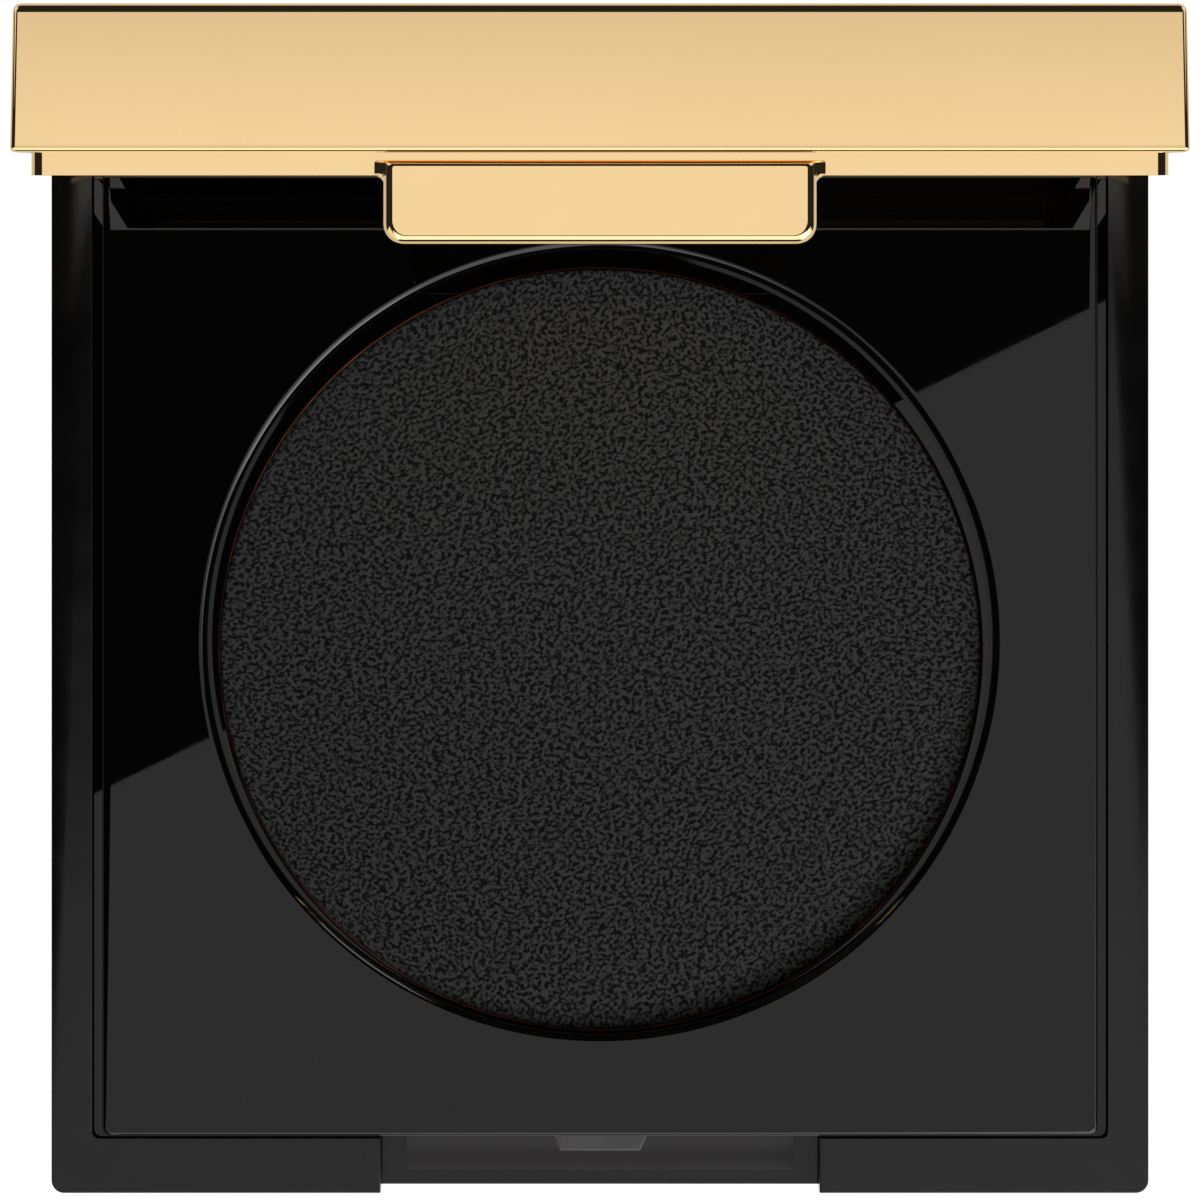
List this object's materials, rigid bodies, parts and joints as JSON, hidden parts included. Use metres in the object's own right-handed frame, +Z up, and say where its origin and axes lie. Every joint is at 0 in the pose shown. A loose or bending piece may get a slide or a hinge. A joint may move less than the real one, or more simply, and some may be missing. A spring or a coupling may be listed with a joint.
{
  "type": "powder compact",
  "caption": "Square hinged powder compact with a polished lid and mirror, a raised glossy tray round a round pressed-powder pan, and a thumb notch with a snap catch.",
  "frame": {"origin": "centre of the underside of the base, on the surface that it lies on", "axes": "+Z up out of the tray's face, -Y towards the thumb notch at the front, +Y towards the hinge, +X to the right seen from the front"},
  "size_m": [0.052, 0.0557, 0.0584],
  "materials": {
    "base_black": "moulded black plastic, semi-gloss",
    "tray_black": "piano-black high gloss",
    "catch_grey": "moulded dark grey plastic, satin",
    "pan_metal": "pressed tinplate-coloured sheet, satin",
    "adhesive": "double-sided film",
    "pressed_powder": "pressed charcoal powder with a fine embossed grain",
    "label_paper": "blank coated label",
    "pin_steel": "drawn steel wire",
    "polished_gold": "metallised pale gold, mirror-polished",
    "mirror_glass": "silvered flat glass"
  },
  "bodies": {
    "base": {"base_shell": "base_black", "inner_tray": "tray_black", "latch_catch": "catch_grey", "powder_pan": "pan_metal", "pan_adhesive": "adhesive", "powder_cake": "pressed_powder", "underside_label": "label_paper", "hinge_pin_left": "pin_steel", "hinge_pin_right": "pin_steel"},
    "lid": {"mirror_frame": "polished_gold", "lid_cover": "polished_gold", "mirror": "mirror_glass", "mirror_adhesive": "adhesive"}
  },
  "joints": [
    {"name": "lid_hinge", "type": "hinge", "parent": "base", "child": "lid", "pos_m": [0, 0.02405, 0.0084], "axis": [-1, 0, 0], "range_deg": [-88.5, 21.5]}
  ]
}
